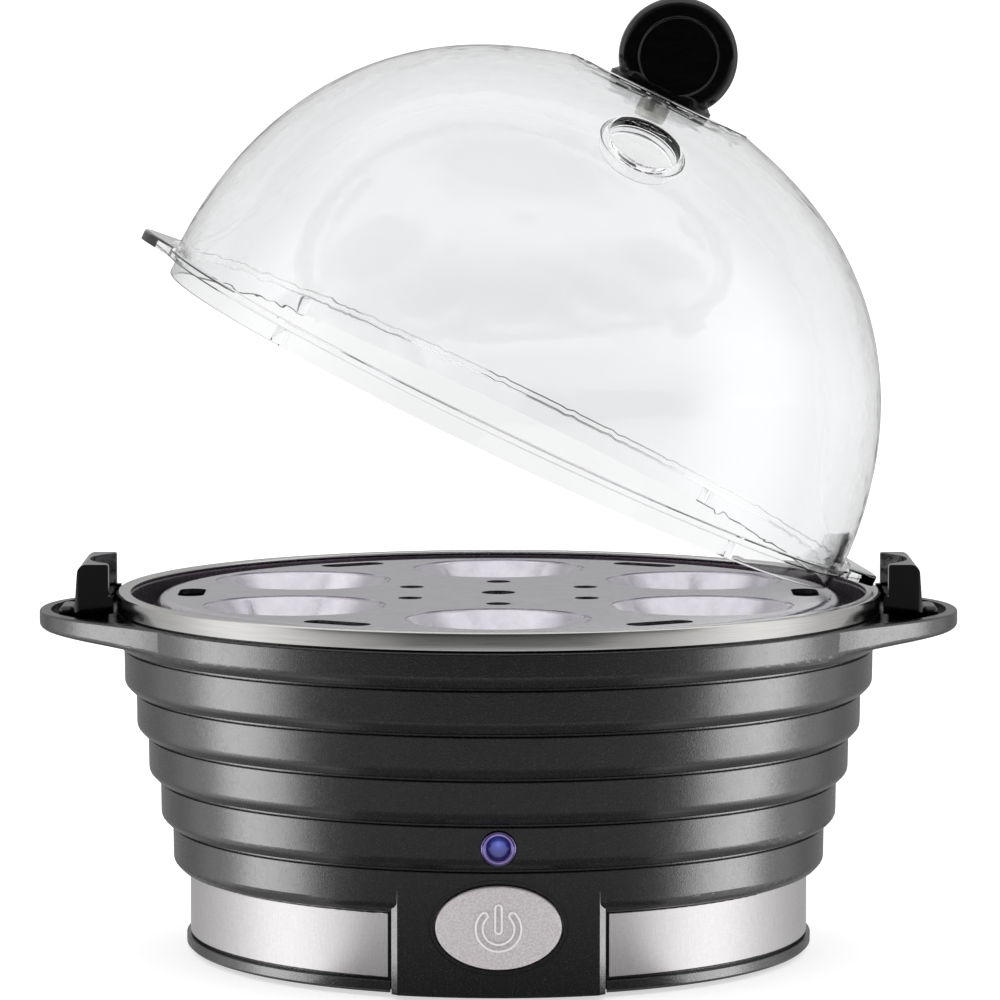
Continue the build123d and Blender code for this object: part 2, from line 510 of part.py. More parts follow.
# ---------------------------------------------------------------- heater, thermostat, fuse, shield
ring_r, tube_r, hz = 40.0, 3.2, 48.3
el = Rot(0, 0, 110) * revolve(Pos(ring_r, 0, hz) * (Plane.XZ * Circle(tube_r)), Axis((0, 0, 0), (0, 0, 1)), 320)
for a in (110, 70):
    x, y = polar(ring_r, a)
    el = el + Pos(x, y, hz) * Sphere(tube_r) + cyl(tube_r, 40.5, hz, x, y) + cyl(1.1, 31.0, 41.0, x, y)
nodes["heating_element"] = one(el)
shield = rev([(0, 38.0), (56.0, 38.0, 1.5), (56.0, 45.0), (55.4, 45.0), (55.4, 38.6, 0.9), (0, 38.6)])
for a in STUD_A:
    x, y = polar(STUD_R, a)
    shield = shield - cyl(1.7, 36, 42, x, y)
shield = shield - cyl(9.6, 36, 42)
for a in (110, 70):
    x, y = polar(ring_r, a)
    shield = shield - cyl(4.2, 36, 42, x, y)
for s in (-1, 1):
    shield = shield - cyl(1.0, 36, 42, -30.0, s * 9.6)
nodes["heat_shield"] = one(shield)
nuts = []
for a in STUD_A:
    x, y = polar(STUD_R, a)
    n = Pos(x, y, 35.5) * extrude(RegularPolygon(3.18, 6), 2.4) - cyl(1.56, 30, 42, x, y)
    nuts.append(one(n))
nodes["shield_nuts"] = Compound(nuts)
th = cyl(8.0, 43.0, 50.85) + cyl(6.0, 40.2, 43.1)
for s in (-1, 1):
    th = th + box(s * 4.0 - 0.4, s * 4.0 + 0.4, -3.1, 3.1, 32.5, 40.5)
nodes["thermostat"] = one(th)
nodes["thermal_fuse"] = one(cyl_y(2.0, -5.5, 5.5, -30.0, 43.2) + cyl_y(0.45, -9.6, 9.6, -30.0, 43.2) + cyl(0.45, 33.0, 43.2, -30.0, -9.6) + cyl(0.45, 33.0, 43.2, -30.0, 9.6)
                            + Pos(-30, -9.6, 43.2) * Sphere(0.45) + Pos(-30, 9.6, 43.2) * Sphere(0.45))
clip = box(-33.2, -26.8, -3.0, 3.0, 38.62, 46.4) - cyl_y(2.05, -4, 4, -30.0, 43.2) - box(-31.2, -28.8, -4, 4, 43.2, 47)
nodes["fuse_clip"] = one(clip)

# ---------------------------------------------------------------- cord entry and wiring
gl = cyl_y(5.45, 65.0, 72.3, 0, GLAND_Z) + cyl_y(7.4, 69.75, 71.6, 0, GLAND_Z) + cyl_y(6.4, 65.0, 66.35, 0, GLAND_Z)
gl = soft(one(gl), [e for e in gl.edges() if e.geom_type == GeomType.CIRCLE and e.center().Y > 71], 0.6)
gl = gl - cyl_y(3.6, 60, 80, 0, GLAND_Z)
nodes["cord_gland"] = one(gl)
cl = box(-9.5, 9.5, 51.0, 56.0, 10.7, 15.6) - cyl_y(3.6, 45, 60, 0, GLAND_Z)
for sx in (-1, 1):
    cl = cl - cyl(1.35, 8, 20, sx * 7.3, 53.5)
nodes["cord_clamp"] = one(cl)
cs = []
for sx in (-1, 1):
    s = cyl(2.1, 15.65, 17.0, sx * 7.3, 53.5) + cyl(1.1, 4.6, 15.7, sx * 7.3, 53.5)
    s = s - box(sx * 7.3 - 1.5, sx * 7.3 + 1.5, 53.2, 53.8, 16.4, 18)
    cs.append(one(s))
nodes["clamp_screws"] = Compound(cs)
tb = box(-12.2, 12.2, 33.5, 42.5, 3.05, 13.5)
tb = soft(tb, [e for e in tb.edges() if abs(e.tangent_at(0.5).Z) > 0.9], 0.8)
for x in (-8.0, 0.0, 8.0):
    tb = tb - cyl(2.2, 8.6, 16, x, 38.0)
    tb = tb - cyl_y(1.5, 30, 46, x, 6.6)
nodes["terminal_block"] = one(tb)
ts = []
for x in (-8.0, 0.0, 8.0):
    s = cyl(2.05, 8.7, 12.2, x, 38.0) - box(x - 1.6, x + 1.6, 37.7, 38.3, 11.4, 13)
    ts.append(one(s))
nodes["terminal_screws"] = Compound(ts)


def wire(pts, r=0.9, bend=6.0):
    path = FilletPolyline(*pts, radius=bend)
    pl = Plane(origin=path @ 0, z_dir=path % 0)
    return one(sweep(pl * Circle(r), path=path))


ex, ey = polar(ring_r, 70)
fx, fy = polar(ring_r, 110)
wires = [
    wire([(8.0, 33.2, 6.6), (8.0, 22.0, 6.6), (24.0, 10.0, 18.0), (ex + 10, ey - 12, 24.0), (ex, ey, 24.0), (ex, ey, 30.9)], bend=4.0),
    wire([(-8.0, 33.2, 6.6), (-8.0, 20.0, 6.6), (-30.0, 22.0, 18.0), (-30.0, 9.6, 24.0), (-30.0, 9.6, 32.9)], bend=4.0),
]
nodes["lead_wires"] = Compound(wires)

# ---------------------------------------------------------------- write
os.makedirs("parts", exist_ok=True)
for name, shape in nodes.items():
    shape.label = name
    export_step(shape, "parts/%s.step" % name)
    bb = shape.bounding_box()
    print("%-18s solids %d vol %.1f  x %.1f..%.1f y %.1f..%.1f z %.1f..%.1f valid %s" % (
        name, len(shape.solids()), shape.volume, bb.min.X, bb.max.X, bb.min.Y, bb.max.Y, bb.min.Z, bb.max.Z, shape.is_valid))
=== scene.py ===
import json
import math

import bmesh
import bpy
from mathutils import Matrix, Vector


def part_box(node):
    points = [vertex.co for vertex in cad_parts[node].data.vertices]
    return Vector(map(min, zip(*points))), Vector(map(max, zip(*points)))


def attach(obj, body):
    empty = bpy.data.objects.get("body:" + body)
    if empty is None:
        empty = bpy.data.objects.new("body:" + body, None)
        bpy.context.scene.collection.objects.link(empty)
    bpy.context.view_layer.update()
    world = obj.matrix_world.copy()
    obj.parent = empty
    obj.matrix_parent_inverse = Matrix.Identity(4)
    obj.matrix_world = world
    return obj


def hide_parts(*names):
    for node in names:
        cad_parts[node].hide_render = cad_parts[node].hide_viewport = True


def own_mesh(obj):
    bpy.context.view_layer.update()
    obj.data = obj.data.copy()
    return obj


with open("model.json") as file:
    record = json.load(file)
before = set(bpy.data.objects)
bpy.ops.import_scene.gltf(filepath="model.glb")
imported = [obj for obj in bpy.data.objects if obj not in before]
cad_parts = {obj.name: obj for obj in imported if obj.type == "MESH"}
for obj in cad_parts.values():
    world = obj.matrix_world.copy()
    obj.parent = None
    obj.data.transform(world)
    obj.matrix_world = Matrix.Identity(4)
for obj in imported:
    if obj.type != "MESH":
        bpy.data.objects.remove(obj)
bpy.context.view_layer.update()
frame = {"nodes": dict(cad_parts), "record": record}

N = frame["nodes"]
scene = bpy.context.scene


# ------------------------------------------------------------------ node helpers
class Mat:
    """A small builder round one Principled material."""

    def __init__(self, name, color=(0.5, 0.5, 0.5), rough=0.5, metal=0.0, **sockets):
        self.m = bpy.data.materials.new(name)
        self.m.use_nodes = True
        self.t = self.m.node_tree
        self.n = self.t.nodes
        self.n.clear()
        self.out = self.n.new("ShaderNodeOutputMaterial")
        self.b = self.n.new("ShaderNodeBsdfPrincipled")
        self.t.links.new(self.b.outputs[0], self.out.inputs[0])
        self.b.inputs["Base Color"].default_value = (*color, 1)
        self.b.inputs["Roughness"].default_value = rough
        self.b.inputs["Metallic"].default_value = metal
        for k, v in sockets.items():
            self.b.inputs[k.replace("_", " ")].default_value = v
        self._co = None
        self._bump = None

    def node(self, kind, **values):
        x = self.n.new(kind)
        for k, v in values.items():
            if k in x.inputs:
                x.inputs[k].default_value = v
            else:
                setattr(x, k, v)
        return x

    def link(self, a, b):
        self.t.links.new(a, b)
        return b

    @property
    def co(self):
        if self._co is None:
            self._co = self.n.new("ShaderNodeTexCoord").outputs["Object"]
        return self._co

    def scaled(self, sx, sy, sz, vec=None):
        x = self.n.new("ShaderNodeVectorMath")
        x.operation = "MULTIPLY"
        self.link(vec or self.co, x.inputs[0])
        x.inputs[1].default_value = (sx, sy, sz)
        return x.outputs[0]

    def cylindrical(self, k_angle, k_r, k_z):
        """Vector (angle * k_angle, radius * k_r, z * k_z) round the Z axis."""
        s = self.n.new("ShaderNodeSeparateXYZ")
        self.link(self.co, s.inputs[0])
        a = self.math("ARCTAN2", s.outputs[1], s.outputs[0])
        r2 = self.math("ADD", self.math("MULTIPLY", s.outputs[0], s.outputs[0]), self.math("MULTIPLY", s.outputs[1], s.outputs[1]))
        r = self.math("SQRT", r2)
        c = self.n.new("ShaderNodeCombineXYZ")
        self.link(self.math("MULTIPLY", a, k_angle), c.inputs[0])
        self.link(self.math("MULTIPLY", r, k_r), c.inputs[1])
        self.link(self.math("MULTIPLY", s.outputs[2], k_z), c.inputs[2])
        return c.outputs[0]

    def math(self, op, a, b=None, c=None, clamp=False):
        x = self.n.new("ShaderNodeMath")
        x.operation = op
        x.use_clamp = clamp
        for i, v in enumerate((a, b, c)):
            if v is None:
                continue
            if isinstance(v, (int, float)):
                x.inputs[i].default_value = v
            else:
                self.link(v, x.inputs[i])
        return x.outputs[0]

    def noise(self, scale, detail=3.0, rough=0.55, vec=None, distortion=0.0):
        x = self.n.new("ShaderNodeTexNoise")
        x.inputs["Scale"].default_value = scale
        x.inputs["Detail"].default_value = detail
        x.inputs["Roughness"].default_value = rough
        x.inputs["Distortion"].default_value = distortion
        self.link(vec or self.co, x.inputs["Vector"])
        return x.outputs[0]

    def voronoi(self, scale, vec=None, feature="F1"):
        x = self.n.new("ShaderNodeTexVoronoi")
        x.feature = feature
        x.inputs["Scale"].default_value = scale
        self.link(vec or self.co, x.inputs["Vector"])
        return x.outputs[0]

    def remap(self, v, lo, hi, a, b, smooth=False):
        x = self.n.new("ShaderNodeMapRange")
        x.interpolation_type = "SMOOTHSTEP" if smooth else "LINEAR"
        self.link(v, x.inputs[0])
        for i, k in zip((1, 2, 3, 4), (lo, hi, a, b)):
            x.inputs[i].default_value = k
        return x.outputs[0]

    def ramp(self, v, *stops):
        x = self.n.new("ShaderNodeValToRGB")
        self.link(v, x.inputs[0])
        e = x.color_ramp.elements
        e[0].position, e[0].color = stops[0][0], (*stops[0][1], 1)
        e[1].position, e[1].color = stops[-1][0], (*stops[-1][1], 1)
        for p, c in stops[1:-1]:
            k = e.new(p)
            k.color = (*c, 1)
        return x.outputs[0]

    def base(self, v):
        self.link(v, self.b.inputs["Base Color"])

    def rough(self, v):
        self.link(v, self.b.inputs["Roughness"])

    def bump(self, height, distance, strength=1.0):
        x = self.n.new("ShaderNodeBump")
        x.inputs["Strength"].default_value = strength
        x.inputs["Distance"].default_value = distance
        self.link(height, x.inputs["Height"])
        if self._bump is not None:
            self.link(self._bump, x.inputs["Normal"])
        self._bump = x.outputs[0]
        self.link(self._bump, self.b.inputs["Normal"])
        return self

    def wear(self, amount=0.35, width=0.0012):
        """Factor that rises along worn edges, from a bevel normal against the true one."""
        bv = self.n.new("ShaderNodeBevel")
        bv.samples = 4
        bv.inputs["Radius"].default_value = width
        g = self.n.new("ShaderNodeNewGeometry")
        d = self.n.new("ShaderNodeVectorMath")
        d.operation = "DOT_PRODUCT"
        self.link(bv.outputs[0], d.inputs[0])
        self.link(g.outputs["Normal"], d.inputs[1])
        return self.remap(d.outputs["Value"], 0.995, 0.80, 0.0, amount)


# ------------------------------------------------------------------ materials
def plastic_grained():
    """Charcoal plastic with a fine spark-eroded grain."""
    m = Mat("charcoal_grain", (0.004, 0.004, 0.0042), 0.31, **{"IOR": 1.5, "Specular IOR Level": 0.48})
    grain = m.noise(4400, 1.5, 0.55)
    fine = m.noise(5600, 1.0, 0.5)
    pits = m.voronoi(3100)
    big = m.noise(420, 3.0, 0.5)
    speck = m.remap(fine, 0.50, 0.74, 0.0, 1.0, True)
    m.base(m.ramp(speck, (0.0, (0.0008, 0.0008, 0.0008)), (0.55, (0.0014, 0.0014, 0.0015)), (1.0, (0.030, 0.030, 0.031))))
    m.rough(m.remap(m.math("ADD", m.math("MULTIPLY", big, 0.3), m.math("MULTIPLY", fine, 0.7)), 0.3, 0.7, 0.18, 0.30))
    m.bump(pits, 0.00003, 0.30)
    m.bump(grain, 0.00004, 0.70)
    return m.m


def plastic_gloss(name="piano_black"):
    m = Mat(name, (0.0015, 0.0015, 0.0016), 0.08, **{"IOR": 1.5})
    m.base(m.ramp(m.noise(60, 3.0), (0.3, (0.0010, 0.0010, 0.0011)), (0.7, (0.0020, 0.0020, 0.0022))))
    scratch = m.noise(1.0, 4.0, 0.7, vec=m.scaled(180, 2600, 900))
    m.rough(m.remap(scratch, 0.35, 0.8, 0.055, 0.14, True))
    m.bump(m.noise(240, 2.0), 0.00002, 0.06)
    return m.m


def clear_lid():
    m = Mat("clear_moulded", (0.985, 0.99, 0.995), 0.01, **{"IOR": 1.49, "Transmission Weight": 1.0, "Specular IOR Level": 0.5})
    m.base(m.ramp(m.noise(14, 2.0), (0.3, (0.980, 0.986, 0.992)), (0.7, (0.990, 0.994, 0.998))))
    m.rough(m.remap(m.noise(700, 2.0, 0.5), 0.60, 0.85, 0.0, 0.03, True))
    return m.m


def steel_polished():
    """Rolled rim: polished with hairlines running round it."""
    m = Mat("rim_steel", (0.47, 0.465, 0.455), 0.14, 1.0)
    v = m.cylindrical(6.0, 5200, 5200)
    lines = m.noise(1.0, 3.0, 0.6, vec=v)
    m.base(m.ramp(lines, (0.3, (0.485, 0.48, 0.47)), (0.7, (0.55, 0.545, 0.535))))
    m.rough(m.remap(lines, 0.25, 0.75, 0.10, 0.19))
    m.bump(lines, 0.00001, 0.22)
    m.bump(m.noise(70, 2.0), 0.0001, 0.05)
    return m.m


def steel_brushed():
    """Side bands: short upright brush strokes with a faint weave of level ones."""
    m = Mat("band_steel", (0.50, 0.48, 0.485), 0.30, 1.0)
    up = m.noise(1.0, 4.0, 0.65, vec=m.cylindrical(330, 1.0, 260))
    level = m.noise(1.0, 3.0, 0.6, vec=m.cylindrical(36, 1.0, 4200))
    fleck = m.noise(1700, 2.0, 0.6)
    mix = m.math("ADD", m.math("ADD", m.math("MULTIPLY", up, 0.5), m.math("MULTIPLY", level, 0.22)), m.math("MULTIPLY", fleck, 0.28))
    m.base(m.ramp(mix, (0.34, (0.66, 0.635, 0.645)), (0.50, (0.74, 0.72, 0.725)), (0.66, (0.83, 0.82, 0.825))))
    m.rough(m.remap(mix, 0.3, 0.7, 0.25, 0.38))
    m.bump(up, 0.00002, 0.30)
    m.bump(level, 0.00001, 0.25)
    return m.m


def tray_metal():
    m = Mat("tray_polish", (0.62, 0.60, 0.64), 0.16, 1.0)
    lines = m.noise(1.0, 3.0, 0.6, vec=m.cylindrical(3.0, 2400, 400))
    spot = m.noise(260, 3.0, 0.6)
    m.base(m.ramp(spot, (0.3, (0.53, 0.505, 0.555)), (0.72, (0.61, 0.59, 0.63))))
    m.rough(m.remap(lines, 0.25, 0.75, 0.13, 0.24))
    m.bump(lines, 0.00001, 0.25)
    m.bump(m.noise(55, 2.0), 0.0002, 0.06)
    return m.m


def bowl_metal():
    """Dark non-stick pan with a purplish tinge."""
    m = Mat("bowl_coat", (0.055, 0.040, 0.055), 0.24, 0.55, **{"Specular IOR Level": 0.7})
    spot = m.noise(900, 3.0, 0.6)
    m.base(m.ramp(spot, (0.3, (0.045, 0.032, 0.046)), (0.75, (0.080, 0.060, 0.080))))
    m.rough(m.remap(m.noise(140, 3.0), 0.3, 0.7, 0.20, 0.32))
    m.bump(spot, 0.00003, 0.2)
    return m.m


BTN_Z = 0.0155
SYM_OUT, SYM_IN, SYM_GAP = 0.00457, 0.00317, 46.0
BAR_HALF, BAR_LO, BAR_HI = 0.00065, -0.00095, 0.00485


def button_satin():
    """Satin silver with a fine grain; the raised symbol is a shade darker."""
    m = Mat("button_satin", (0.62, 0.58, 0.60), 0.40, 0.18)
    grain = m.noise(4200, 2.0, 0.6)
    fleck = m.remap(m.noise(2600, 2.0, 0.5), 0.35, 0.7, 0.0, 1.0, True)
    face = m.ramp(fleck, (0.0, (0.59, 0.545, 0.565)), (1.0, (0.745, 0.71, 0.725)))
    s = m.n.new("ShaderNodeSeparateXYZ")
    m.link(m.co, s.inputs[0])
    x = s.outputs[0]
    z = m.math("SUBTRACT", s.outputs[2], BTN_Z)
    r = m.math("SQRT", m.math("ADD", m.math("MULTIPLY", x, x), m.math("MULTIPLY", z, z)))
    ax = m.math("ABSOLUTE", x)
    ang = m.math("ARCTAN2", ax, z)
    in_ring = m.math("MULTIPLY", m.math("LESS_THAN", m.math("ABSOLUTE", m.math("SUBTRACT", r, (SYM_OUT + SYM_IN) / 2)), (SYM_OUT - SYM_IN) / 2), m.math("GREATER_THAN", ang, math.radians(SYM_GAP)))
    in_bar = m.math("MULTIPLY", m.math("LESS_THAN", ax, BAR_HALF), m.math("LESS_THAN", m.math("ABSOLUTE", m.math("SUBTRACT", z, (BAR_LO + BAR_HI) / 2)), (BAR_HI - BAR_LO) / 2))
    inside = m.math("MULTIPLY", m.math("MAXIMUM", in_ring, in_bar), 0.55)
    mix = m.n.new("ShaderNodeMix")
    mix.data_type = "RGBA"
    m.link(inside, mix.inputs[0])
    m.link(face, mix.inputs[6])
    m.link(m.ramp(fleck, (0.0, (0.42, 0.385, 0.40)), (1.0, (0.54, 0.505, 0.52))), mix.inputs[7])
    m.base(mix.outputs[2])
    m.rough(m.remap(grain, 0.3, 0.7, 0.34, 0.48))
    m.bump(grain, 0.00003, 0.35)
    return m.m


def chrome_tinted():
    m = Mat("bezel_chrome", (0.34, 0.27, 0.50), 0.06, 1.0)
    m.base(m.ramp(m.noise(500, 2.0), (0.3, (0.17, 0.13, 0.34)), (0.7, (0.25, 0.20, 0.46))))
    m.rough(m.remap(m.noise(1400, 2.0), 0.3, 0.7, 0.04, 0.09))
    return m.m


def lens_blue():
    """Blue lens with a painted glow: lighter and faintly emissive round its upper middle, standing in for light showing
    through from behind.
    """
    m = Mat("lens_blue", (0.012, 0.02, 0.30), 0.10, **{"IOR": 1.5, "Coat Weight": 0.8, "Coat Roughness": 0.04, "Transmission Weight": 0.25})
    lo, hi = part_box("indicator_lens")
    c = (lo + hi) / 2
    d = m.n.new("ShaderNodeVectorMath")
    d.operation = "DISTANCE"
    m.link(m.co, d.inputs[0])
    d.inputs[1].default_value = (c.x, lo.y, c.z + 0.0009)
    r = m.math("ADD", d.outputs["Value"], m.math("MULTIPLY", m.noise(700, 2.0), 0.0004))
    # painted glow: colour lightens and emits towards a point at the upper middle of the front face, in place of light
    # from behind
    glow = m.ramp(m.remap(r, 0.0002, 0.0030, 0.0, 1.0), (0.0, (0.10, 0.15, 0.66)), (0.30, (0.035, 0.055, 0.40)), (0.62, (0.014, 0.020, 0.235)), (1.0, (0.006, 0.008, 0.11)))
    m.base(glow)
    m.link(glow, m.b.inputs["Emission Color"])
    m.b.inputs["Emission Strength"].default_value = 0.22
    m.bump(m.voronoi(1500), 0.00004, 0.2)
    return m.m


def simple_plastic(name, a, b, rough, scale=900, bump=0.00003, **kw):
    m = Mat(name, a, rough, **kw)
    m.base(m.ramp(m.noise(scale, 3.0, 0.6), (0.3, a), (0.7, b)))
    m.rough(m.remap(m.noise(scale * 0.4, 2.0), 0.3, 0.7, max(rough - 0.06, 0.02), rough + 0.07))
    m.bump(m.noise(scale * 2.2, 2.0), bump, 0.3)
    return m.m


def simple_metal(name, a, b, rough, scale=1200):
    m = Mat(name, a, rough, 1.0)
    m.base(m.ramp(m.noise(scale, 3.0, 0.6), (0.3, a), (0.7, b)))
    m.rough(m.remap(m.noise(scale * 0.5, 2.0), 0.3, 0.7, max(rough - 0.07, 0.03), rough + 0.09))
    m.bump(m.noise(scale * 2, 2.0), 0.00002, 0.25)
    return m.m


M = {
    "textured_black": plastic_grained(),
    "gloss_black": plastic_gloss(),
    "clear_plastic": clear_lid(),
    "polished_steel": steel_polished(),
    "brushed_trim": steel_brushed(),
    "tray_metal": tray_metal(),
    "bowl_metal": bowl_metal(),
    "silver_button": button_satin(),
    "bezel_chrome": chrome_tinted(),
    "blue_lens": lens_blue(),
    "led_epoxy": simple_plastic("led_epoxy", (0.55, 0.6, 0.8), (0.65, 0.7, 0.9), 0.15, 400, **{"Transmission Weight": 0.5}),
    "foot_rubber": simple_plastic("foot_rubber", (0.012, 0.012, 0.012), (0.02, 0.02, 0.02), 0.7, 1800, 0.00006),
    "gasket_silicone": simple_plastic("gasket_silicone", (0.5, 0.5, 0.5), (0.56, 0.56, 0.56), 0.5),
    "zinc_steel": simple_metal("zinc_steel", (0.46, 0.46, 0.44), (0.58, 0.57, 0.52), 0.32),
    "heater_sheath": simple_metal("heater_sheath", (0.17, 0.14, 0.12), (0.28, 0.25, 0.22), 0.45),
    "shield_steel": simple_metal("shield_steel", (0.42, 0.42, 0.42), (0.56, 0.56, 0.57), 0.34, 300),
    "thermostat_alu": simple_metal("thermostat_alu", (0.58, 0.58, 0.58), (0.68, 0.68, 0.68), 0.3),
    "board_green": simple_plastic("board_green", (0.02, 0.13, 0.045), (0.03, 0.17, 0.06), 0.28, 500),
    "part_black": simple_plastic("part_black", (0.012, 0.012, 0.013), (0.02, 0.02, 0.02), 0.42),
    "relay_blue": simple_plastic("relay_blue", (0.02, 0.08, 0.32), (0.03, 0.10, 0.38), 0.4),
    "part_white": simple_plastic("part_white", (0.62, 0.61, 0.57), (0.70, 0.69, 0.65), 0.42),
    "gland_rubber": simple_plastic("gland_rubber", (0.010, 0.010, 0.010), (0.018, 0.018, 0.018), 0.55, 1600, 0.00005),
    "wire_jacket": simple_plastic("wire_jacket", (0.60, 0.57, 0.50), (0.70, 0.67, 0.60), 0.55, 2600, 0.00008),
    "spring_steel": simple_metal("spring_steel", (0.42, 0.42, 0.43), (0.52, 0.52, 0.53), 0.28),
}
SLOT = {s["node"]: s["material_slot"] for s in frame["record"]["subparts"]}
for name, obj in N.items():
    obj.data.materials.clear()
    obj.data.materials.append(M[SLOT[name]])


# ------------------------------------------------------------------ rolled steel rim, turned finely
def rounded(pts, step=12.0):
    """Closed profile of (r, z[, fillet radius]) with its corners rounded, in mm."""
    out = []
    n = len(pts)
    for i, q in enumerate(pts):
        p = Vector((q[0], q[1]))
        rad = q[2] if len(q) > 2 else 0.0
        if not rad:
            out.append(p)
            continue
        a = (Vector(pts[i - 1][:2]) - p).normalized()
        b = (Vector(pts[(i + 1) % n][:2]) - p).normalized()
        half = a.angle(b) / 2
        d = rad / math.tan(half)
        c = p + (a + b).normalized() * (rad / math.sin(half))
        s0, s1 = p + a * d - c, p + b * d - c
        turn = math.pi - 2 * half
        k = max(2, int(math.ceil(math.degrees(turn) / step)))
        sgn = 1.0 if s0.x * s1.y - s0.y * s1.x > 0 else -1.0
        for j in range(k + 1):
            t = sgn * turn * j / k
            out.append(c + Vector((s0.x * math.cos(t) - s0.y * math.sin(t), s0.x * math.sin(t) + s0.y * math.cos(t))))
    return out


def lathe(name, profile, mat, body, replaces, seg=288):
    prof = rounded(profile)
    n = len(prof)
    verts = [(p.x * 0.001 * math.cos(2 * math.pi * i / seg), p.x * 0.001 * math.sin(2 * math.pi * i / seg), p.y * 0.001) for i in range(seg) for p in prof]
    faces = [(i * n + j, ((i + 1) % seg) * n + j, ((i + 1) % seg) * n + (j + 1) % n, i * n + (j + 1) % n) for i in range(seg) for j in range(n)]
    me = bpy.data.meshes.new(name)
    me.from_pydata(verts, [], faces)
    me.validate()
    bm = bmesh.new()
    bm.from_mesh(me)
    bmesh.ops.recalc_face_normals(bm, faces=bm.faces)
    for f in bm.faces:
        f.smooth = True
    for e in bm.edges:
        if len(e.link_faces) == 2 and e.calc_face_angle(0.0) > math.radians(35):
            e.smooth = False
    bm.to_mesh(me)
    bm.free()
    o = bpy.data.objects.new(name, me)
    scene.collection.objects.link(o)
    me.materials.append(mat)
    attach(o, body)
    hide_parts(*replaces)
    return o


lathe("rim_turned", [(80.2, 72.7), (81.0, 72.7, 0.15), (81.0, 76.5, 0.5), (78.0, 76.5, 0.35), (78.0, 75.7, 0.35), (80.2, 75.7, 0.15)], M["polished_steel"], "base", ["steel_rim"])


# ------------------------------------------------------------------ raised outline of the button's power symbol, near-white as a painted highlight
def tube(name, paths, radius, mat, body, cyclic=True, sides=10):
    """Round cord of small radius along closed paths of points, as one mesh."""
    verts, faces = [], []
    for pts in paths:
        n = len(pts)
        base = len(verts)
        for i, p in enumerate(pts):
            t = (pts[(i + 1) % n] - pts[i - 1]).normalized()
            u = Vector((0, -1, 0)).cross(t).normalized()
            w = t.cross(u).normalized()
            for k in range(sides):
                a = 2 * math.pi * k / sides
                verts.append(p + radius * (math.cos(a) * u + math.sin(a) * w))
        for i in range(n):
            j = (i + 1) % n
            for k in range(sides):
                q = (k + 1) % sides
                faces.append((base + i * sides + k, base + j * sides + k, base + j * sides + q, base + i * sides + q))
    me = bpy.data.meshes.new(name)
    me.from_pydata([tuple(v) for v in verts], [], faces)
    me.validate()
    for p in me.polygons:
        p.use_smooth = True
    o = bpy.data.objects.new(name, me)
    scene.collection.objects.link(o)
    me.materials.append(mat)
    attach(o, body)
    return o


def on_cap(x, z):
    """Point on the symbol's domed top."""
    return Vector((x, 0.009 - math.sqrt(0.080 ** 2 - x * x - z * z) + 0.00003, BTN_Z + z))


def symbol_paths():
    ring = []
    a0 = math.radians(SYM_GAP + 1.0)
    steps = 56
    for i in range(steps + 1):
        a = a0 + (2 * math.pi - 2 * a0) * i / steps
        ring.append((SYM_OUT * math.sin(a), SYM_OUT * math.cos(a)))
    rm, rc = (SYM_OUT + SYM_IN) / 2, (SYM_OUT - SYM_IN) / 2
    end = 2 * math.pi - a0
    for i in range(1, 8):
        b = math.pi * i / 8
        d = rm + rc * math.cos(b)
        a = end + rc * math.sin(b) / rm
        ring.append((d * math.sin(a), d * math.cos(a)))
    for i in range(steps + 1):
        a = end - (2 * math.pi - 2 * a0) * i / steps
        ring.append((SYM_IN * math.sin(a), SYM_IN * math.cos(a)))
    for i in range(1, 8):
        b = math.pi * i / 8
        d = rm - rc * math.cos(b)
        a = a0 - rc * math.sin(b) / rm
        ring.append((d * math.sin(a), d * math.cos(a)))
    bar = []
    zt, zb = BAR_HI - BAR_HALF, BAR_LO + BAR_HALF
    for i in range(13):
        a = math.pi * i / 12
        bar.append((BAR_HALF * math.cos(a), zt + BAR_HALF * math.sin(a)))
    for i in range(1, 8):
        bar.append((-BAR_HALF, zt + (zb - zt) * i / 8))
    for i in range(13):
        a = math.pi + math.pi * i / 12
        bar.append((BAR_HALF * math.cos(a), zb + BAR_HALF * math.sin(a)))
    for i in range(1, 8):
        bar.append((BAR_HALF, zb + (zt - zb) * i / 8))
    return [[on_cap(x, z) for x, z in ring], [on_cap(x, z) for x, z in bar]]


def outline_highlight_material():
    # painted highlight: the cord is real raised geometry, but its near-white colour stands in for light caught on the
    # symbol's edges
    m = Mat("outline_painted_highlight", (0.93, 0.91, 0.92), 0.42, 0.15)
    m.base(m.ramp(m.noise(2600, 2.0), (0.3, (0.95, 0.93, 0.94)), (0.7, (1.0, 0.985, 0.99))))
    m.rough(m.remap(m.noise(1800, 2.0), 0.3, 0.7, 0.36, 0.5))
    return m.m


tube("symbol_outline", symbol_paths(), 0.00021, outline_highlight_material(), "button")
